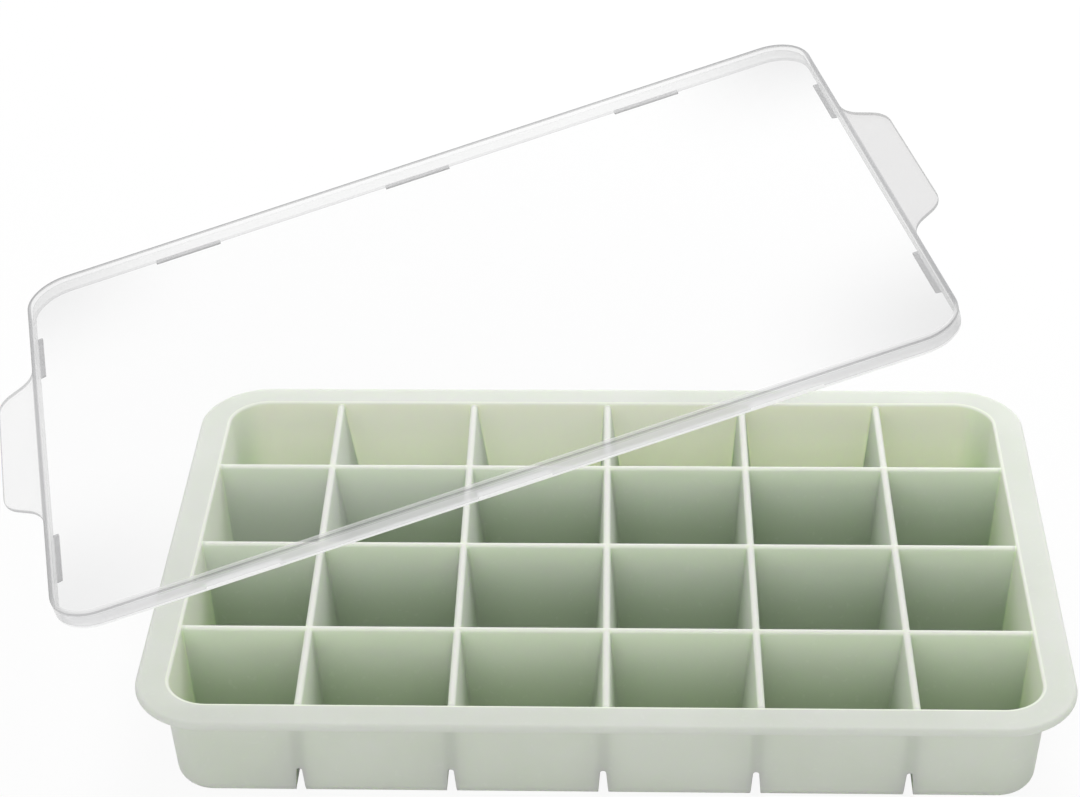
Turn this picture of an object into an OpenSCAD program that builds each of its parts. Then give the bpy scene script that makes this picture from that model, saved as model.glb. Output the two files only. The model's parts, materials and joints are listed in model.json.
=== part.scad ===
// Ice cube tray with a lid: a soft moulded tray of square cups and a clear lid
// that presses on. The lid is designed on the closed tray, then lifted and turned
// about one axis to where it is held above the tray.
// Millimetres. The tray stands on z = 0, centred, with its length along x.

/* [Cups] */
// Cups from left to right
columns = 6; // [2:1:8]
// Cups from front to back
rows = 4; // [2:1:6]
// Distance between the middles of neighbouring dividers
pitch = 39; // [30:1:48]
// Distance from the middle of the last divider to the edge of the opening
edge_cell = 34; // [26:1:42]
// Thickness of a divider at its rounded top
divider = 2; // [1.6:0.1:2.6]
// Drop of the divider tops below the rim
divider_drop = 0.5; // [0.2:0.1:1.5]
// Lean of every cup wall from the vertical, in degrees
draft = 4.5; // [3.5:0.5:6]
// Radius between the outer walls and the cup floors
cup_r = 3; // [1.5:0.5:3.5]
// Radius between the dividers and the cup floors
divider_r = 2.3; // [1.3:0.5:3.3]

/* [Tray] */
// Height of the tray from its base to the rim
tray_h = 30; // [26:1:38]
// Thickness of the cup walls
wall = 1.8; // [1.4:0.1:2]
// Thickness of the cup floors
floor_t = 2; // [1.4:0.2:3]
// Radius at the foot of the outer wall
foot_r = 4; // [2:0.5:5]
// Height of the gaps between the feet of the cups
gap_h = 9.3; // [6:0.1:10]
// Radius along the lower edges of the gaps
gap_edge = 0.8; // [0.4:0.1:1]

/* [Rim] */
// Width of the flat rim around the opening
rim_w = 8; // [6:0.5:12]
// Thickness of the rim
rim_t = 2.5; // [2.4:0.1:3.4]
// Radius of the rim's outer corners
rim_corner = 19.5; // [16:0.5:22]
// Radius of the rim's outer edge
rim_edge = 1.1; // [0.4:0.1:1.2]
// Radius of the edge of the opening
mouth_r = 0.6; // [0.3:0.1:1]

/* [Lid] */
// Thickness of the lid's panel and of its tabs
panel_t = 1.3; // [1:0.1:2]
// Thickness of the lid's skirt
skirt_t = 1.2; // [1:0.1:1.8]
// Radius of the lid's outer corners
lid_corner = 12.5; // [9:0.5:16]
// Radius of the lid's upper edge
lid_edge = 0.8; // [0.3:0.1:1]
// Gap between the rim's outer edge and the skirt
rim_gap = 0.4; // [0.3:0.1:1]
// Gap between the rim and the panel or a lug
seat_gap = 0.3; // [0.2:0.1:0.6]
// Height of a snap lug
lug_h = 1; // [0.8:0.1:1.6]
// Length of a snap lug
lug_l = 20; // [10:1:24]
// Reach of a snap lug in from the skirt
lug_reach = 1.6; // [1:0.1:2.2]
// Distance from the lid's corner arc to the nearest lug on a long side
lug_inset_long = 27; // [10:1:32]
// Distance from the lid's corner arc to the nearest lug on a short side
lug_inset_short = 11; // [4:0.5:14]

/* [Pull tabs] */
// Reach of a tab out from the lid's end
tab_out = 10.5; // [9:0.5:14]
// Straight length of a tab's outer edge
tab_flat = 42.5; // [30:0.5:50]
// Radius of a tab's outer corners and of its root
tab_r = 8.5; // [6:0.5:9.5]
// Slope of a tab's sides from the tray's length, in degrees
tab_slope = 35; // [30:1:45]

/* [Lifted lid] */
// Turn of the lid from its seat, in degrees
lift_angle = 19; // [8:0.5:24]
// Heading of the turning axis, towards the right of straight ahead, in degrees
lift_heading = 15; // [5:0.5:20]
// Rise of the turning axis above the level, in degrees
lift_rise = 41; // [30:0.5:50]
// Distance of the turning axis to the left of the rim, at the rim's level
lift_left = 75; // [60:1:100]
// Distance of the turning axis in front of the rim, at the rim's level
lift_front = 58; // [40:1:80]

/* [Hidden] */
$fn = 64;
overlap = 1;
lean = tan(draft);

// Middle of a rounding, as a share of its radius from the faces that it joins:
// it meets them at a slight angle
snug = cos(8);

// Half sizes of the opening and of the rim
open_x = (columns - 2) * pitch / 2 + edge_cell;
open_y = (rows - 2) * pitch / 2 + edge_cell;
rim_x = open_x + rim_w;
rim_y = open_y + rim_w;

// Half sizes of the lid
lid_x = rim_x + rim_gap + skirt_t;
lid_y = rim_y + rim_gap + skirt_t;

// Middles of the corner arcs, one pair for the rim and the walls, one for the lid
tray_arc = [rim_x - rim_corner, rim_y - rim_corner];
lid_arc = [lid_x - lid_corner, lid_y - lid_corner];

// Distance of each upright face from the tray's arcs' middles, at the rim's top
cup_face = rim_corner - rim_w - mouth_r;
outer_face = cup_face + wall / cos(draft);

divider_top = tray_h - divider_drop;

lid_under = tray_h + seat_gap;
lid_top = lid_under + panel_t;
lug_top = tray_h - rim_t - seat_gap;
lid_low = lug_top - lug_h;
lug_far_x = lid_arc.x - lug_inset_long - lug_l / 2;
lug_far_y = lid_arc.y - lug_inset_short - lug_l / 2;

lift_axis = [sin(lift_heading) * cos(lift_rise), -cos(lift_heading) * cos(lift_rise), sin(lift_rise)];
lift_point = [-rim_x - lift_left, -rim_y - lift_front, tray_h];

// Sweeps a profile round a rounded rectangle. The profile's x is the distance
// out from the corner arcs' middles and its y is the height.
module round_frame(arc) {
    for (side = [0, 180]) {
        rotate(side) translate([arc.x, arc.y, 0]) {
            rotate([90, 0, 0]) linear_extrude(2 * arc.y) children();
            rotate_extrude(angle = 90) children();
        }
        rotate(side + 90) translate([arc.y, arc.x, 0]) {
            rotate([90, 0, 0]) linear_extrude(2 * arc.x) children();
            rotate_extrude(angle = 90) children();
        }
    }
}

// A solid with that outline: the swept profile round a plain core.
module round_solid(arc, low, high) {
    translate([-arc.x, -arc.y, low]) cube([2 * arc.x, 2 * arc.y, high - low]);
    round_frame(arc) children();
}

// What lies between a corner and the circle that rounds it: taken off an outer
// corner, added to an inner one. The two angles point at the corner's faces.
module corner_piece(middle, r, from, to) {
    reach = 1.3 * r;
    a = reach * [cos(from), sin(from)];
    b = reach * [cos(to), sin(to)];
    translate(middle) difference() {
        polygon([[0, 0], a, a + b, b]);
        circle(r);
    }
}

// Profile of a wall that leans out as it rises and is rounded at its foot.
// face is the wall's distance out at the height of the rim's top.
module leaning_profile(face, low, high, foot) {
    at_zero = face - tray_h * lean;
    foot_z = low + foot * snug;
    foot_x = at_zero + foot_z * lean - foot * snug / cos(draft);
    difference() {
        polygon([[0, low], [at_zero + low * lean, low], [at_zero + high * lean, high], [0, high]]);
        corner_piece([foot_x, foot_z], foot, -90, -draft);
    }
}

// Profile of a slab with a rounded outer edge, above and below or above only.
module slab_profile(reach, low, high, edge, round_below) {
    edge_x = reach - edge * snug;
    difference() {
        translate([0, low]) square([reach, high - low]);
        corner_piece([edge_x, high - edge * snug], edge, 0, 90);
        if (round_below) corner_piece([edge_x, low + edge * snug], edge, -90, 0);
    }
}

// Profile of the space in the outer cups: a leaning wall that opens out at its
// top into the rounded edge of the rim.
module cup_profile() {
    edge_z = tray_h - mouth_r * snug;
    edge_x = cup_face - (tray_h - edge_z) * lean + mouth_r * snug / cos(draft);
    leaning_profile(cup_face, floor_t, tray_h + overlap, cup_r);
    corner_piece([edge_x, edge_z], mouth_r, 90, 180 - draft);
}

// Half thickness of a divider at a height, and half width of the gap below it.
function divider_half(z) = divider / 2 + (divider_top - divider / 2 - z) * lean;
function gap_half(z) = divider_half(z) - wall / cos(draft);

// Profile of a divider: a round top, leaning sides and a rounded foot.
module divider_profile() {
    top_r = divider / 2 * (1 - lean) / (snug - lean);
    top_z = divider_top - top_r;
    low = floor_t - overlap;
    foot_z = floor_t + divider_r * snug;
    foot_x = divider_half(foot_z) + divider_r * snug / cos(draft);
    translate([0, top_z]) circle(top_r);
    polygon([
        [-divider_half(low), low],
        [divider_half(low), low],
        [divider_half(top_z), top_z],
        [-divider_half(top_z), top_z]
    ]);
    for (side = [0, 1]) mirror([side, 0]) corner_piece([foot_x, foot_z], divider_r, 180 + draft, 270);
}

// Profile of the gap below a divider: sides a wall's thickness from the cups,
// a round top and rounded lower edges.
module gap_profile() {
    top_r = gap_half(gap_h) / (snug - lean);
    top_z = gap_h - top_r;
    edge_z = gap_edge * snug;
    edge_x = gap_half(edge_z) + gap_edge * snug / cos(draft);
    translate([0, top_z]) circle(top_r);
    polygon([
        [-gap_half(-overlap), -overlap],
        [gap_half(-overlap), -overlap],
        [gap_half(top_z), top_z],
        [-gap_half(top_z), top_z]
    ]);
    for (side = [0, 1]) mirror([side, 0]) corner_piece([edge_x, edge_z], gap_edge, 180 + draft, 270);
}

// Runs a profile along every divider's line, right across the tray.
module along_dividers() {
    for (i = [1:columns - 1])
        translate([(i - columns / 2) * pitch, rim_y, 0])
            rotate([90, 0, 0]) linear_extrude(2 * rim_y) children();
    for (j = [1:rows - 1])
        translate([-rim_x, (j - rows / 2) * pitch, 0])
            rotate([90, 0, 90]) linear_extrude(2 * rim_x) children();
}

// The space inside all the cups.
module cup_space() {
    difference() {
        round_solid(tray_arc, floor_t, tray_h + overlap) cup_profile();
        along_dividers() divider_profile();
    }
}

// The tray is one soft moulding: cups, dividers and the flat rim.
module tray() {
    color([0.84, 0.86, 0.81]) difference() {
        union() {
            round_solid(tray_arc, tray_h - rim_t, tray_h)
                slab_profile(rim_corner, tray_h - rim_t, tray_h, rim_edge, true);
            round_solid(tray_arc, 0, tray_h - rim_t / 2)
                leaning_profile(outer_face, 0, tray_h - rim_t / 2, foot_r);
        }
        cup_space();
        along_dividers() gap_profile();
    }
}

// A lug under the rim: a short bar inside the skirt with a sloping lead-in.
module lug() {
    lead = lug_h / 3;
    rotate([90, 0, 0]) translate([0, 0, -lug_l / 2]) linear_extrude(lug_l) polygon([
        [skirt_t / 2, lid_low],
        [0, lid_low],
        [-lug_reach, lid_low + lead],
        [-lug_reach, lug_top],
        [skirt_t / 2, lug_top]
    ]);
}

// Outline of a pull tab, from inside the lid's end outwards: straight sloping
// sides with rounded outer corners and rounded roots.
module tab_outline() {
    round_off = tab_r * snug;
    corner_at = [tab_out - round_off, tab_flat / 2];
    root_y = corner_at.y + (2 * round_off - (2 * round_off - tab_out) * sin(tab_slope)) / cos(tab_slope);
    side_at = corner_at + round_off * [sin(tab_slope), cos(tab_slope)];
    outer_y = side_at.y - (tab_out - side_at.x) * tan(tab_slope);
    inside = lid_edge + overlap;
    inner_y = side_at.y + (inside + side_at.x) * tan(tab_slope);
    difference() {
        polygon([[-inside, -inner_y], [tab_out, -outer_y], [tab_out, outer_y], [-inside, inner_y]]);
        for (side = [0, 1]) mirror([0, side]) corner_piece(corner_at, tab_r, 0, 90 - tab_slope);
    }
    for (side = [0, 1]) mirror([0, side])
        corner_piece([round_off, root_y], tab_r, 180, 270 - tab_slope);
}

// The lid as it sits on the closed tray: panel, skirt, lugs and two pull tabs.
module closed_lid() {
    difference() {
        round_solid(lid_arc, lid_low, lid_top)
            slab_profile(lid_corner, lid_low, lid_top, lid_edge, false);
        round_solid(lid_arc, lid_low - overlap, lid_under)
            translate([0, lid_low - overlap]) square([lid_corner - skirt_t, lid_under - lid_low + overlap]);
    }
    for (turn = [0, 180]) rotate(turn) {
        for (x = [-lug_far_x, 0, lug_far_x]) translate([x, lid_y - skirt_t, 0]) rotate(90) lug();
        for (y = [-lug_far_y, lug_far_y]) translate([lid_x - skirt_t, y, 0]) lug();
        translate([lid_x, 0, lid_under]) linear_extrude(panel_t) tab_outline();
    }
}

// The lid is one clear moulding, held above the tray.
module lid() {
    color([0.93, 0.94, 0.94, 0.45])
        translate(lift_point) rotate(a = lift_angle, v = lift_axis) translate(-lift_point) closed_lid();
}

tray();
lid();
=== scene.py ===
import json
import math

import bmesh
import bpy
from mathutils import Matrix, Vector


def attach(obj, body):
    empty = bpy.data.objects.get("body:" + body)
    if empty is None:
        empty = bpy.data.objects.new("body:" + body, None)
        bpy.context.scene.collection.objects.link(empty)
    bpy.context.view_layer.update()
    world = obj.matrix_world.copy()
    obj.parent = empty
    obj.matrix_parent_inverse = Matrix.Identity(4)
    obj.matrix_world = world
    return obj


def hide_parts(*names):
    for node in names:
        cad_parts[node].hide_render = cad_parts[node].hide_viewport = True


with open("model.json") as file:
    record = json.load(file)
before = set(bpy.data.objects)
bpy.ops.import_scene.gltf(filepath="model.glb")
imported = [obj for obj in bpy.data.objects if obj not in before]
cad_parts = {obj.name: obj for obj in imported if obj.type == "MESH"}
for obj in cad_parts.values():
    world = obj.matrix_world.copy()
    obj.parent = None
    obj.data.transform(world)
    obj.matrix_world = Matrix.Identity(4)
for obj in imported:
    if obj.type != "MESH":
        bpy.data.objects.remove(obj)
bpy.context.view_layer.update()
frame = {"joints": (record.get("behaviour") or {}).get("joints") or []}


# The tray: one moulding of soft silicone rubber, pale sage, pressed in a two-part mould.
# Square cups lean open towards the top, thin dividers with round tops stand between them,
# and a flat rim runs round them all. It stands on the cups' own feet, with gaps between.
mm = 0.001
columns, rows, pitch = 6, 4, 39.0
draft_degrees = 4.5
draft = math.radians(draft_degrees)
wall_lean = math.tan(draft)
# Millimetres. A reach is measured straight out from the middle of the rim's corner arc.
arc_x, arc_y = 100.5, 61.5
rim_reach, rim_top, rim_low, rim_edge = 19.5, 30.0, 27.5, 1.1
cup_reach, wall_reach = 10.9, 12.7056
mouth_r, under_rim_r, foot_r = 0.6, 0.8, 4.0
crest_z, crest_r = 29.5, 1.0
cup_corner, cup_corner_growth, floor_corner = 0.6, 0.018, 1.1
floor_z, floor_r, floor_flat = 2.0, 2.6, 0.7
side_steps, corner_steps, sweep_steps = 8, 4, 16
crest_middle = crest_z - crest_r
mouth_z = rim_top - mouth_r
mouth_reach = cup_reach - mouth_r * wall_lean + mouth_r / math.cos(draft)


def divider_half(z):
    """Half a divider's thickness at a height: a round crest over leaning sides."""
    below = crest_middle - z
    if below < 0:
        return math.sqrt(max(crest_r ** 2 - below ** 2, 0.0))
    return crest_r + below * wall_lean


def cup_wall(z):
    """Reach of the outer cups' wall at a height, with the rounded edge of the opening."""
    if z > mouth_z + mouth_r * math.sin(draft):
        return mouth_reach - math.sqrt(max(mouth_r ** 2 - (z - mouth_z) ** 2, 0.0))
    return cup_reach - (rim_top - z) * wall_lean


def outer_wall(z):
    """Reach of the tray's outer wall at a height."""
    return wall_reach - (rim_top - z) * wall_lean


def arc(middle, radius, first, last, steps):
    """Points on an arc from one angle to another, in degrees, both ends included."""
    turns = [math.radians(first + (last - first) * s / steps) for s in range(steps + 1)]
    return [(middle[0] + radius * math.cos(t), middle[1] + radius * math.sin(t)) for t in turns]


def cup_ring(column, row, z, inset, corner_r):
    """The outline of one cup at a height, anticlockwise from its front left corner."""
    thin, out = divider_half(z) + inset, cup_wall(z) - inset
    first_x, last_x = column == 0, column == columns - 1
    first_y, last_y = row == 0, row == rows - 1
    left = -arc_x - out if first_x else (column - columns / 2) * pitch + thin
    right = arc_x + out if last_x else (column + 1 - columns / 2) * pitch - thin
    front = -arc_y - out if first_y else (row - rows / 2) * pitch + thin
    back = arc_y + out if last_y else (row + 1 - rows / 2) * pitch - thin
    corners = (
        (left, front, 1, 1, 180, first_x and first_y),
        (right, front, -1, 1, 270, last_x and first_y),
        (right, back, -1, -1, 0, last_x and last_y),
        (left, back, 1, -1, 90, first_x and last_y),
    )
    turns = []
    for x, y, to_x, to_y, start, at_rim_corner in corners:
        if at_rim_corner:
            turns.append(arc((-to_x * arc_x, -to_y * arc_y), out, start, start + 90, sweep_steps))
        else:
            middle = (x + to_x * corner_r, y + to_y * corner_r)
            turns.append(arc(middle, corner_r, start, start + 90, corner_steps))
    ring = []
    for k in range(4):
        ring += turns[k]
        (x0, y0), (x1, y1) = turns[k][-1], turns[(k + 1) % 4][0]
        for s in range(1, side_steps):
            ring.append((x0 + (x1 - x0) * s / side_steps, y0 + (y1 - y0) * s / side_steps))
    return [(x, y, z) for x, y in ring]


tray_points, tray_faces = [], []


def skin(rings, flip):
    """Joins closed rings of the tray's points with faces, and gives back the last ring."""
    count = len(rings[0])
    start = len(tray_points)
    for ring in rings:
        tray_points.extend(ring)
    for k in range(start, start + (len(rings) - 1) * count, count):
        for a in range(count):
            b = (a + 1) % count
            quad = [k + a, k + b, k + count + b, k + count + a]
            tray_faces.append(quad[::-1] if flip else quad)
    return list(range(len(tray_points) - count, len(tray_points)))


# The inside of each cup, from the crests round it down to its floor.
crest_steps, floor_steps = 8, 7
crest_turns = [math.radians(90 * s / crest_steps) for s in range(crest_steps + 1)]
floor_turns = [math.radians(90 * s / floor_steps) for s in range(floor_steps + 1)]
cup_heights = (27.6, 25.0, 21.0, 17.0, 13.0, 9.0, 6.0)
for column in range(columns):
    for row in range(rows):
        rings = []
        for t in crest_turns:
            z = crest_middle + crest_r * math.cos(t)
            rings.append(cup_ring(column, row, z, 0.0, cup_corner * math.sin(t)))
        for z in cup_heights:
            corner_r = cup_corner + (crest_middle - z) * cup_corner_growth
            rings.append(cup_ring(column, row, z, 0.0, corner_r))
        for t in floor_turns:
            z = floor_z + floor_r * (1 - math.sin(t))
            rings.append(cup_ring(column, row, z, floor_r * (1 - math.cos(t)), floor_corner))
        rings.append(cup_ring(column, row, floor_z, floor_r + floor_flat, floor_corner))
        tray_faces.append(skin(rings, False))

# The rim, its edges, the outer wall and the foot, as one profile taken round the opening.
edge_hold, mouth_hold, rim_hold, under_hold, foot_hold = 0.3, 0.9, 4.0, 1.0, 0.8
wall_heights = (26.0, 22.0, 18.0, 14.0, 10.0, 7.0, 4.6)
mouth_start = 180 - math.degrees(math.asin((crest_z - mouth_z) / mouth_r))
rim_arc = rim_reach - rim_edge
under_z = rim_low - under_rim_r
under_arc = outer_wall(under_z) + under_rim_r / math.cos(draft)
foot_arc = outer_wall(foot_r) - foot_r / math.cos(draft)
profile = arc((mouth_reach, mouth_z), mouth_r, mouth_start, 90, 6)
profile += [(cup_reach + mouth_hold, rim_top), (cup_reach + rim_hold, rim_top)]
profile.append((rim_arc - edge_hold, rim_top))
profile += arc((rim_arc, rim_top - rim_edge), rim_edge, 90, 0, 7)
profile += arc((rim_arc, rim_low + rim_edge), rim_edge, 0, -90, 7)
profile += [(rim_arc - edge_hold, rim_low), (wall_reach + under_hold, rim_low)]
profile += arc((under_arc, under_z), under_rim_r, 90, 180 - draft_degrees, 5)
profile += [(outer_wall(z), z) for z in wall_heights]
profile += arc((foot_arc, foot_r), foot_r, -draft_degrees, -90, 8)
profile.append((profile[-1][0] - foot_hold, 0.0))

dividers_x = [(k - columns / 2) * pitch for k in range(1, columns)]
dividers_y = [(k - rows / 2) * pitch for k in range(1, rows)]
stops_x = [-arc_x] + dividers_x + [arc_x]
stops_y = [-arc_y] + dividers_y + [arc_y]
outline = []
for stops, turn, far in ((stops_x, 0, arc_y), (stops_y, 90, arc_x),
                         (stops_x, 180, arc_y), (stops_y, 270, arc_x)):
    along = (math.cos(math.radians(turn)), math.sin(math.radians(turn)))
    out = (along[1], -along[0])
    for a, b in zip(stops, stops[1:]):
        for s in range(side_steps):
            t = a + (b - a) * s / side_steps
            outline.append((along[0] * t + out[0] * far, along[1] * t + out[1] * far, out[0], out[1]))
    end = (along[0] * stops[-1] + out[0] * far, along[1] * stops[-1] + out[1] * far)
    for s in range(sweep_steps):
        t = math.radians(turn - 90 + 90 * s / sweep_steps)
        outline.append((end[0], end[1], math.cos(t), math.sin(t)))
rings = [[(x + nx * r, y + ny * r, z) for x, y, nx, ny in outline] for r, z in profile]
tray_faces.append(skin(rings, True)[::-1])

# Soft rubber is never quite straight: the dividers' tops drift to one side from back to front,
# most of all at the left.
inside_x, inside_y = 110.0, 73.0
drift_from, drift_rise, end_hold = 6.0, 20.0, 20.0
spread, sway, sway_change, sway_length = 0.5, 0.8, 0.45, 70.0
for k, (x, y, z) in enumerate(tray_points):
    if abs(x) < inside_x and abs(y) < inside_y:
        upper = max(0.0, min(1.0, (z - drift_from) / drift_rise))
        off_end = max(0.0, min(1.0, (arc_x - abs(x)) / end_hold))
        share = x / dividers_x[-1]
        drift = share * spread - y / sway_length * (sway - sway_change * share)
        tray_points[k] = (x + drift * upper * off_end, y, z)

# Points that meet are joined; both lengths are in metres.
merge_distance, least_edge = 1e-6, 1e-7
tray_mesh = bpy.data.meshes.new("tray_moulding")
tray_mesh.from_pydata([(x * mm, y * mm, z * mm) for x, y, z in tray_points], [], tray_faces)
work = bmesh.new()
work.from_mesh(tray_mesh)
bmesh.ops.remove_doubles(work, verts=work.verts, dist=merge_distance)
bmesh.ops.dissolve_degenerate(work, edges=work.edges, dist=least_edge)
work.to_mesh(tray_mesh)
work.free()
tray = bpy.data.objects.new("tray_moulding", tray_mesh)
bpy.context.scene.collection.objects.link(tray)


def loft(work, rings):
    """Joins closed rings of points into one closed solid, its first and last ring filled."""
    made = [[work.verts.new(Vector(point) * mm) for point in ring] for ring in rings]
    for ring, after in zip(made, made[1:]):
        for a in range(len(ring)):
            b = (a + 1) % len(ring)
            work.faces.new((ring[a], ring[b], after[b], after[a]))
    work.faces.new(made[0][::-1])
    work.faces.new(made[-1])


def placed(work, name):
    """Turns a work mesh into an object of the scene."""
    bmesh.ops.recalc_face_normals(work, faces=work.faces)
    mesh = bpy.data.meshes.new(name)
    work.to_mesh(mesh)
    work.free()
    made = bpy.data.objects.new(name, mesh)
    bpy.context.scene.collection.objects.link(made)
    return made


def combine(piece, other, operation):
    """Cuts another solid out of a piece, or joins it on, and takes the other solid away."""
    join = piece.modifiers.new("join", "BOOLEAN")
    join.operation, join.solver, join.object = operation, "EXACT", other
    bpy.context.view_layer.update()
    mesh = bpy.data.meshes.new_from_object(piece.evaluated_get(bpy.context.evaluated_depsgraph_get()))
    piece.modifiers.clear()
    piece.data = mesh
    bpy.data.objects.remove(other)


def smoothed(piece, sharp_degrees=42):
    """Smooth shading, with sharp edges kept and broad faces flat."""
    piece.data.shade_smooth()
    piece.data.set_sharp_from_angle(angle=math.radians(sharp_degrees))
    even = piece.modifiers.new("even", "WEIGHTED_NORMAL")
    even.keep_sharp = True


# The gaps between the feet: round-topped channels right across the underside both ways,
# with rounded lower edges that start just below the feet. Their tops differ by a hair, so
# that where two channels cross no faces lie flush.
gap_edge, edge_drop, gap_flare, round_drop = 0.8, 0.008, 1.6, 1.0
gap_top_y, gap_top_x, below_feet, past_rim = 9.3, 9.25, -1.0, 130.0


def gap_half(z):
    """Half a gap's width at a height: what a divider leaves between the walls of two cups."""
    return divider_half(z) - (wall_reach - cup_reach)


for places, along_x, gap_top in ((dividers_x, False, gap_top_y), (dividers_y, True, gap_top_x)):
    edge_arc = (gap_half(gap_edge) + gap_edge / math.cos(draft), gap_edge - edge_drop)
    round_r = gap_half(gap_top - round_drop)
    side = [(gap_half(gap_edge) + gap_flare, below_feet)]
    side += arc(edge_arc, gap_edge, 270, 180 + draft_degrees, 5)
    side += arc((0.0, gap_top - round_r), round_r, 0, 90, 8)[1:]
    gap_section = side + [(-x, z) for x, z in side[-2::-1]]
    cutter = bmesh.new()
    for at in places:
        if along_x:
            loft(cutter, [[(end, at + x, z) for x, z in gap_section] for end in (-past_rim, past_rim)])
        else:
            loft(cutter, [[(at + x, end, z) for x, z in gap_section] for end in (-past_rim, past_rim)])
    combine(tray, placed(cutter, "channel"), "DIFFERENCE")
smoothed(tray)


class Shade:
    """A socket in a material. Arithmetic on it adds Math nodes, and node() adds any other node."""

    def __init__(self, tree, socket=None):
        self.tree, self.socket = tree, socket

    def node(self, kind, settings, sockets, out=0):
        made = self.tree.nodes.new(kind)
        for name, value in settings.items():
            setattr(made, name, value)
        for name, value in sockets.items():
            if isinstance(value, Shade):
                self.tree.links.new(value.socket, made.inputs[name])
            else:
                made.inputs[name].default_value = value
        return Shade(self.tree, made.outputs[out] if len(made.outputs) else None)

    def output(self, out):
        """Another output of the node that this socket belongs to."""
        return Shade(self.tree, self.socket.node.outputs[out])

    def maths(self, operation, *values):
        return self.node("ShaderNodeMath", {"operation": operation}, dict(enumerate(values)))

    def __add__(self, other):
        return self.maths("ADD", self, other)

    def __radd__(self, other):
        return self.maths("ADD", other, self)

    def __sub__(self, other):
        return self.maths("SUBTRACT", self, other)

    def __rsub__(self, other):
        return self.maths("SUBTRACT", other, self)

    def __mul__(self, other):
        return self.maths("MULTIPLY", self, other)

    def __rmul__(self, other):
        return self.maths("MULTIPLY", other, self)

    def __pow__(self, other):
        return self.maths("POWER", self, other)

    def __abs__(self):
        return self.maths("ABSOLUTE", self)

    def __or__(self, other):
        """The larger of two."""
        return self.maths("MAXIMUM", self, other)

    def __and__(self, other):
        """The smaller of two."""
        return self.maths("MINIMUM", self, other)

    def fold(self, half):
        """Distance from the nearest of the lines that stand two halves apart."""
        return self.maths("PINGPONG", self, half)

    def step(self, low, high):
        """0 below low, 1 above high and smooth between."""
        return self.node("ShaderNodeMapRange", {"interpolation_type": "SMOOTHSTEP", "clamp": True},
                         {"Value": self, "From Min": low, "From Max": high})

    def blend(self, first, second):
        """The first colour where this is 0, the second where it is 1."""
        return self.node("ShaderNodeMix", {"data_type": "RGBA"}, {0: self, 6: first, 7: second}, out=2)


def new_material(name):
    material = bpy.data.materials.new(name)
    material.use_nodes = True
    material.node_tree.nodes.clear()
    return material, Shade(material.node_tree)


def millimetres(place):
    """The three coordinates of a place on the piece, in millimetres like the sizes."""
    scaled = place.node("ShaderNodeVectorMath", {"operation": "SCALE"}, {0: place, "Scale": 1 / mm})
    parts = place.node("ShaderNodeSeparateXYZ", {}, {0: scaled})
    return parts, parts.output(1), parts.output(2)


def noise(place, scale, detail, roughness=0.5):
    return place.node("ShaderNodeTexNoise", {}, {
        "Vector": place, "Scale": scale, "Detail": detail, "Roughness": roughness})


def past(distance, middle):
    """How far a distance goes past the middle of a corner arc, and 0 before it."""
    return (distance - middle) | 0.0


# The silicone: cloudy sage with a few pale specks, with painted light and shade on top: painted shade
# deeper down in the cups and in faint bands above the gaps, painted light on the upper cup walls, a
# painted glow on the inner faces of the outer walls and painted highlights on the crests and the rim's
# inner edge.
# Masks go from 0 to 1, and wall_place is how far a place lies outside the cups' wall.
sage_pale, sage_full = (0.715, 0.740, 0.685, 1.0), (0.745, 0.765, 0.720, 1.0)
sage_painted_light, gap_shade = (0.745, 0.795, 0.700, 1.0), (0.50, 0.53, 0.46, 1.0)
cup_shade, wall_painted_glow = (0.510, 0.595, 0.455, 1.0), (0.900, 0.980, 0.770, 1.0)
crest_painted_highlight, speck_white = (0.890, 0.990, 0.800, 1.0), (0.86, 0.88, 0.83, 1.0)
silicone, make = new_material("sage_silicone")
place = make.node("ShaderNodeTexCoord", {}, {}, out=3)
x, y, z = millimetres(place)
past_x, past_y = past(abs(x), arc_x), past(abs(y), arc_y)
wall_place = (past_x * past_x + past_y * past_y) ** 0.5 + (rim_top - z) * wall_lean - cup_reach
in_cups = 1 - wall_place.step(0.4, 1.0)
depth = (1 - z.step(5.0, rim_low)) * in_cups
upper = z.step(21.5, crest_middle) * in_cups
crest = z.step(crest_z - 0.8, crest_z - 0.2) * (1 - wall_place.step(-1.4, -0.4))
mouth = wall_place.step(-0.4, 0.0) * (1 - wall_place.step(0.6, 1.0)) * z.step(rim_top - 1.0, rim_top - 0.4)
thin_wall = wall_place.step(-0.5, -0.1) * in_cups * (0.96 - past_x.step(1.5, 9.0) * 0.5)
over_gap_x = (1 - x.fold(pitch / 2).step(0.6, 2.6)) * past_y.step(0.5, 1.0)
over_gap_y = (1 - y.fold(pitch / 2).step(0.6, 2.6)) * past_x.step(0.5, 1.0)
over_gap = (over_gap_x | over_gap_y) * (1 - in_cups) * (1 - z.step(rim_low - 2.0, rim_low - 0.5))
cloud = noise(place, 38.0, 3.0, 0.55)
grain = noise(place, 2600.0, 2.0, 0.6)
speck = noise(place, 520.0, 1.0)
sage = cloud.step(0.3, 0.7).blend(sage_pale, sage_full)
# Painted light: the upper part of the cup walls is made lighter.
sage = upper.blend(sage, sage_painted_light)
# Painted shade: faint darker bands on the outer wall above the gaps, where the wall meets a divider.
sage = (over_gap * 0.13).blend(sage, gap_shade)
# Painted shade: the cups are made darker deeper down.
sage = (depth * 0.9).blend(sage, cup_shade)
# Painted glow: the inner faces of the outer walls are made pale, as if lit through the thin rubber, less
# so at the two ends.
sage = thin_wall.blend(sage, wall_painted_glow)
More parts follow.
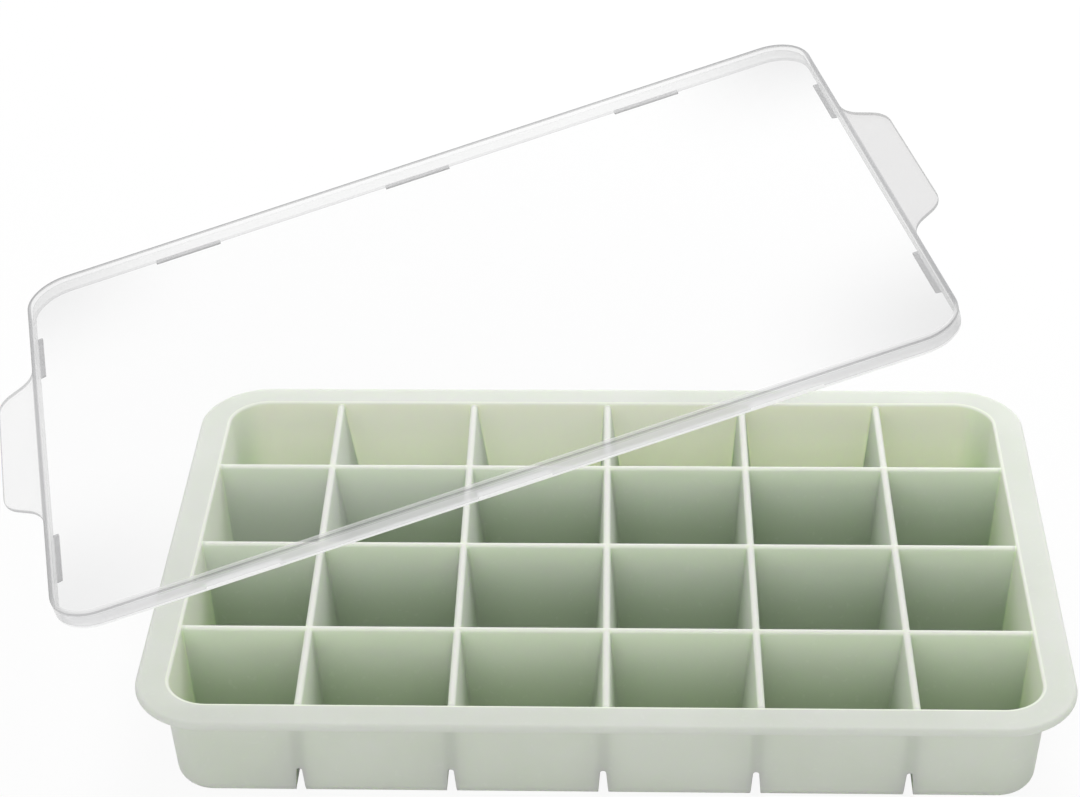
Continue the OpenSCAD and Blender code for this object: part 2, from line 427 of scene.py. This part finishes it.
# Painted highlight: the divider crests and the rim's inner edge are made pale.
sage = ((crest | mouth) * 0.95).blend(sage, crest_painted_highlight)
sage = (speck.step(0.66, 0.74) * 0.10).blend(sage, speck_white)
bump = make.node("ShaderNodeBump", {}, {
    "Strength": 0.12, "Distance": 0.06 * mm, "Height": grain + cloud * 0.8})
surface = make.node("ShaderNodeBsdfPrincipled", {}, {
    "Base Color": sage, "Roughness": 0.46 + cloud * 0.16, "Normal": bump, "IOR": 1.41,
    "Subsurface Weight": 1.0, "Subsurface Radius": (0.88, 1.0, 0.78), "Subsurface Scale": 4.0 * mm,
    "Specular IOR Level": 0.42,
})
make.node("ShaderNodeOutputMaterial", {}, {"Surface": surface})
tray.data.materials.clear()
tray.data.materials.append(silicone)
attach(tray, "tray")
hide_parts("tray")


# The lid: one clear moulding of polypropylene, faintly frosted, with a low skirt that goes
# over the rim, lugs inside the skirt that click under it and a pull tab at each short end.
# It is modelled closed, and its object carries the turn that holds it above the tray.
lid_arc_x, lid_arc_y = 109.1, 70.1
skirt_in, skirt_out = 11.3, 12.5
lid_top, lid_under, lid_low = 31.6, 30.3, 26.2
lid_edge, lid_edge_hold, lip_r, under_r, under_edge_hold = 0.8, 0.25, 0.45, 0.5, 1.0
panel_rings, outer_heights, inner_heights = (2.0, 6.0), (30.5, 28.5, 27.0), (27.2, 29.5)
lid_lift = math.radians(19)
lid_end = lid_arc_x + skirt_out

lid_section = [(reach, lid_top) for reach in panel_rings + (skirt_out - lid_edge - lid_edge_hold,)]
lid_section += arc((skirt_out - lid_edge, lid_top - lid_edge), lid_edge, 90, 0, 6)
lid_section += [(skirt_out, z) for z in outer_heights]
lid_section += arc((skirt_out - lip_r, lid_low + lip_r), lip_r, 0, -90, 5)
lid_section += arc((skirt_in + lip_r, lid_low + lip_r), lip_r, 270, 180, 5)
lid_section += [(skirt_in, z) for z in inner_heights]
lid_section += arc((skirt_in - under_r, lid_under - under_r), under_r, 0, 90, 4)
lid_section += [(reach, lid_under) for reach in (skirt_in - under_edge_hold,) + panel_rings[::-1]]
around = []
for side_x, side_y, start in ((-1, -1, 180), (1, -1, 270), (1, 1, 0), (-1, 1, 90)):
    for nx, ny in arc((0.0, 0.0), 1.0, start, start + 90, sweep_steps):
        around.append((side_x * lid_arc_x, side_y * lid_arc_y, nx, ny))
panel_work = bmesh.new()
loft(panel_work, [[(x + nx * r, y + ny * r, z) for x, y, nx, ny in around] for r, z in lid_section])
lid = placed(panel_work, "lid_moulding")

extra_work = bmesh.new()
lug_half, lug_far_x, lug_far_y = 10.0, 72.1, 49.1
lug_top, lug_reach, lug_root, lug_lift, lug_bevel = 27.2, 1.6, 0.4, 0.02, 0.15
lead_depth, lead_low, lead_top = 0.35, 0.25, 0.45
lug_section = [
    (lug_root, lid_low + lug_lift), (lead_depth - lug_reach, lid_low + lead_low),
    (-lug_reach, lid_low + lead_top), (-lug_reach, lug_top - lug_bevel),
    (lug_bevel - lug_reach, lug_top), (lug_root, lug_top),
]
short_side, long_side = (-lug_far_y, lug_far_y), (-lug_far_x, 0.0, lug_far_x)
for turn, far, places in ((0, lid_arc_x, short_side), (90, lid_arc_y, long_side),
                          (180, lid_arc_x, short_side), (270, lid_arc_y, long_side)):
    spin = Matrix.Rotation(math.radians(turn), 4, "Z")
    for at in places:
        loft(extra_work, [[spin @ Vector((far + skirt_in + r, at + end, z)) for r, z in lug_section]
                          for end in (-lug_half, lug_half)])

tab_out, tab_flat, tab_r, tab_slope = 10.5, 42.5, 8.5, 35.0
tab_top, tab_low, tab_edge, tab_root, tab_sink = 31.25, 30.0, 0.4, -0.6, -0.15


def tab_outline(inset):
    """A tab's edge from root to root, drawn in by inset."""
    slope = math.radians(tab_slope)
    corner_x, corner_y = tab_out - tab_r, tab_flat / 2
    root_y = corner_y + (2 * tab_r - (2 * tab_r - tab_out) * math.sin(slope)) / math.cos(slope)
    half = arc((tab_r, root_y), tab_r + inset, 180, 270 - tab_slope, 8)
    half += arc((corner_x, corner_y), tab_r - inset, 90 - tab_slope, 0, 8)
    half = [(tab_root, root_y)] + [(max(x, tab_sink), y) for x, y in half]
    return half + [(x, -y) for x, y in half[::-1]]


tab_section = arc((tab_edge, tab_low + tab_edge), tab_edge, 270, 180, 3)
tab_section += arc((tab_edge, tab_top - tab_edge), tab_edge, 180, 90, 3)
for turn in (0, 180):
    spin = Matrix.Rotation(math.radians(turn), 4, "Z")
    loft(extra_work, [[spin @ Vector((lid_end + x, y, z)) for x, y in tab_outline(inset)]
                      for inset, z in tab_section])

combine(lid, placed(extra_work, "lugs_and_tabs"), "UNION")
smoothed(lid)
swing = frame["joints"][0]
pivot = Vector(swing["pos_m"])
turned = Matrix.Rotation(lid_lift, 4, Vector(swing["axis"]))
lid.matrix_world = Matrix.Translation(pivot) @ turned @ Matrix.Translation(-pivot)

# The plastic: almost clear, with a little frosted haze, hazier on the tabs. Painted shade makes it greyer
# towards the corners, more so on the right, and greys the back and ends of the skirt, the shoulder, the
# tabs' sides and the right tab. The front of the skirt is painted white and hazier, the brow, lip and lugs
# carry painted lines, white highlights at the front and grey shade elsewhere, and the front lip has a
# painted glow.
# edge_place is how far a place lies outside the skirt.
clear_white, corner_painted_shade = (0.92, 0.92, 0.925, 1.0), (0.60, 0.60, 0.605, 1.0)
back_skirt_painted_shade, end_skirt_painted_shade = (0.76, 0.76, 0.77, 1.0), (0.66, 0.66, 0.67, 1.0)
front_skirt_painted_light, edge_painted_shade = (0.93, 0.93, 0.94, 1.0), (0.40, 0.40, 0.41, 1.0)
left_tab, right_tab_painted_shade = (0.92, 0.92, 0.92, 1.0), (0.55, 0.54, 0.54, 1.0)
line_painted_shade, line_painted_highlight = (0.36, 0.36, 0.37, 1.0), (0.98, 0.98, 0.98, 1.0)
unlit, lip_painted_glow = (0.0, 0.0, 0.0, 1.0), (0.16, 0.16, 0.16, 1.0)
skirt_wall, most_haze = skirt_out - skirt_in, 0.92
clear, make = new_material("clear_plastic")
place = make.node("ShaderNodeTexCoord", {}, {}, out=3)
x, y, z = millimetres(place)
faces_up = abs(make.node("ShaderNodeSeparateXYZ", {}, {0: place.output(1)}, out=2))
across, deep = abs(x), abs(y)
past_x, past_y = past(across, lid_arc_x), past(deep, lid_arc_y)
edge_place = (past_x * past_x + past_y * past_y) ** 0.5 - skirt_out
front = (0 - y).step(70.0, 80.0)
right_side = x.step(-120.0, 120.0)
end = across.step(108.0, 119.0)
corner = across.step(60.0, 120.0) * deep.step(20.0, 80.0)
tab = across.step(lid_end - 0.2, lid_end + 0.2)
off_tab = 1 - tab
tab_side = tab * (1 - faces_up.step(0.3, 0.9))
skirt = (1 - z.step(lid_under - 0.4, lid_under)) * off_tab
brow = (edge_place - front * 0.5).step(-1.5, -1.1) * z.step(lid_top - 0.6, lid_top - 0.3) * off_tab
shoulder = edge_place.step(-0.8, -0.5) * z.step(lid_under, lid_under + 0.3) * off_tab
shoulder = shoulder * (1 - z.step(lid_top - 0.5, lid_top - 0.3))
by_lug = 1 - across.fold(lug_far_x / 2).step(lug_half - 0.5, lug_half)
lip = (1 - (z - front * (0.4 + by_lug * 0.5)).step(lid_low + 0.3, lid_low + 0.6)) * off_tab
lug = (1 - edge_place.step(-skirt_wall - 0.05, -skirt_wall)) * (1 - z.step(lug_top + 0.1, lug_top + 0.3))
frost = noise(place, 16.0, 4.0, 0.6)
fine = noise(place, 1400.0, 2.0)
edge_on = make.node("ShaderNodeLayerWeight", {}, {"Blend": 0.5}, out=1)
haze_and_painted_light = 0.03 + frost * 0.02 + edge_on ** 4.0 * 0.5
haze_and_painted_light = haze_and_painted_light + corner * (1 - skirt * 0.8) * (0.09 + right_side * 0.07)
# The front of the skirt is made far hazier, which with its white tone paints it light.
haze_and_painted_light = haze_and_painted_light + skirt * (0.03 + front * 0.49) + tab * 0.17 + tab_side * 0.35
haze_and_painted_light = haze_and_painted_light + brow * 0.5 + shoulder * 0.4 + lip * (0.12 + front * 0.28) + lug * (0.44 - end * 0.14)
# Painted shade: greyer and hazier towards the corners, more so on the right.
tone = corner.blend(clear_white, corner_painted_shade)
# Painted light and shade on the skirt: white at the front, grey at the back and greyer at the ends.
tone = skirt.blend(tone, front.blend(end.blend(back_skirt_painted_shade, end_skirt_painted_shade), front_skirt_painted_light))
# Painted shade: the right tab is made darker than the left.
tone = tab.blend(tone, x.step(-130.0, 130.0).blend(left_tab, right_tab_painted_shade))
# Painted shade: the skirt's shoulder and the tabs' sides are greyed.
tone = (shoulder | tab_side).blend(tone, edge_painted_shade)
# Painted highlights and shade on the brow, lip and lugs: white at the front, grey elsewhere.
tone = (brow | lip | lug).blend(tone, front.blend(line_painted_shade, line_painted_highlight))
bump = make.node("ShaderNodeBump", {}, {"Strength": 0.03, "Distance": 0.03 * mm, "Height": fine + frost})
# The front lip gets a painted glow through its emission.
surface = make.node("ShaderNodeBsdfPrincipled", {}, {
    "Base Color": tone, "Roughness": 0.16 + frost * 0.10, "Alpha": haze_and_painted_light & most_haze, "Normal": bump,
    "Emission Color": (lip * front).blend(unlit, lip_painted_glow), "Emission Strength": 1.0, "IOR": 1.49,
})
make.node("ShaderNodeOutputMaterial", {}, {"Surface": surface})
lid.data.materials.append(clear)
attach(lid, "lid")
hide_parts("lid")


# The table: a plain white sheet, matt to the light that falls on it and white to the eye,
# which runs out past the picture and keeps a soft shadow under the tray. Sizes in metres.
table_half, table_z, white_share = 4.0, -0.0002, 0.92
corners = [(sx * table_half, sy * table_half, table_z) for sx, sy in ((-1, -1), (1, -1), (1, 1), (-1, 1))]
table_mesh = bpy.data.meshes.new("table")
table_mesh.from_pydata(corners, [], [(0, 1, 2, 3)])
table = bpy.data.objects.new("table", table_mesh)
bpy.context.scene.collection.objects.link(table)


def shown_rays(make):
    """1 for the rays that show a surface: seen straight, in a reflection or through the lid."""
    ray = make.node("ShaderNodeLightPath", {}, {})
    return ray.output("Is Camera Ray") | ray.output("Is Glossy Ray") | ray.output("Is Transmission Ray")


paper, make = new_material("white_table")
matt = make.node("ShaderNodeBsdfDiffuse", {}, {"Color": (0.90, 0.90, 0.90, 1.0)})
white = make.node("ShaderNodeEmission", {}, {"Color": (1.0, 1.0, 1.0, 1.0), "Strength": 1.0})
mixed = make.node("ShaderNodeMixShader", {}, {0: shown_rays(make) * white_share, 1: matt, 2: white})
make.node("ShaderNodeOutputMaterial", {}, {"Surface": mixed})
table_mesh.materials.append(paper)


# The light: an even white room, with one wide soft lamp high up behind the tray and a weak
# one in front of it, placed in metres. Both lamps are hidden from reflections.
room_light = 0.48
world = bpy.data.worlds.new("room")
bpy.context.scene.world = world
world.use_nodes = True
world.node_tree.nodes.clear()
make = Shade(world.node_tree)
room = make.node("ShaderNodeBackground", {}, {
    "Color": (1.0, 1.0, 1.0, 1.0), "Strength": room_light + shown_rays(make) * (1 - room_light)})
make.node("ShaderNodeOutputWorld", {}, {"Surface": room})

lit_point = Vector((0, 0, 0.02))
for name, spot, size, watts in (("lamp_back", (0.12, 0.70, 0.85), 0.7, 8.0),
                                ("lamp_front", (-0.2, -1.2, 0.50), 0.8, 2.3)):
    lamp = bpy.data.lights.new(name, "AREA")
    lamp.shape, lamp.size, lamp.energy = "DISK", size, watts
    holder = bpy.data.objects.new(name, lamp)
    bpy.context.scene.collection.objects.link(holder)
    holder.location = spot
    holder.visible_glossy = False
    holder.rotation_euler = (lit_point - Vector(spot)).to_track_quat("-Z", "Y").to_euler()


# The camera: a long lens, a little right of the middle and about a third of a right angle up.
# Its focal length is in pixels of the photograph, and its aim and distance in millimetres.
photo_width, focal_pixels, film_width = 1080.0, 2798.12, 36.0
heading, rise, roll = math.radians(2.5736), math.radians(31.5820), math.radians(-1.1419)
aim, distance = Vector((-20.874, 75.121, 30.0)), 830.155
back = Vector((math.sin(heading) * math.cos(rise), -math.cos(heading) * math.cos(rise), math.sin(rise)))
level = Vector((math.cos(heading), math.sin(heading), 0.0))
upright = back.cross(level)
right = math.cos(roll) * level + math.sin(roll) * upright
up = -math.sin(roll) * level + math.cos(roll) * upright
stand = (aim + back * distance) * mm
lens = bpy.data.cameras.new("camera")
lens.sensor_fit, lens.sensor_width = "HORIZONTAL", film_width
lens.lens = film_width * focal_pixels / photo_width
lens.clip_start, lens.clip_end = 0.01, 50.0
camera = bpy.data.objects.new("camera", lens)
bpy.context.scene.collection.objects.link(camera)
camera.matrix_world = Matrix((
    (right.x, up.x, back.x, stand.x),
    (right.y, up.y, back.y, stand.y),
    (right.z, up.z, back.z, stand.z),
    (0.0, 0.0, 0.0, 1.0),
))
bpy.context.scene.camera = camera
bpy.context.scene.view_settings.view_transform = "Standard"

bpy.context.view_layer.update()
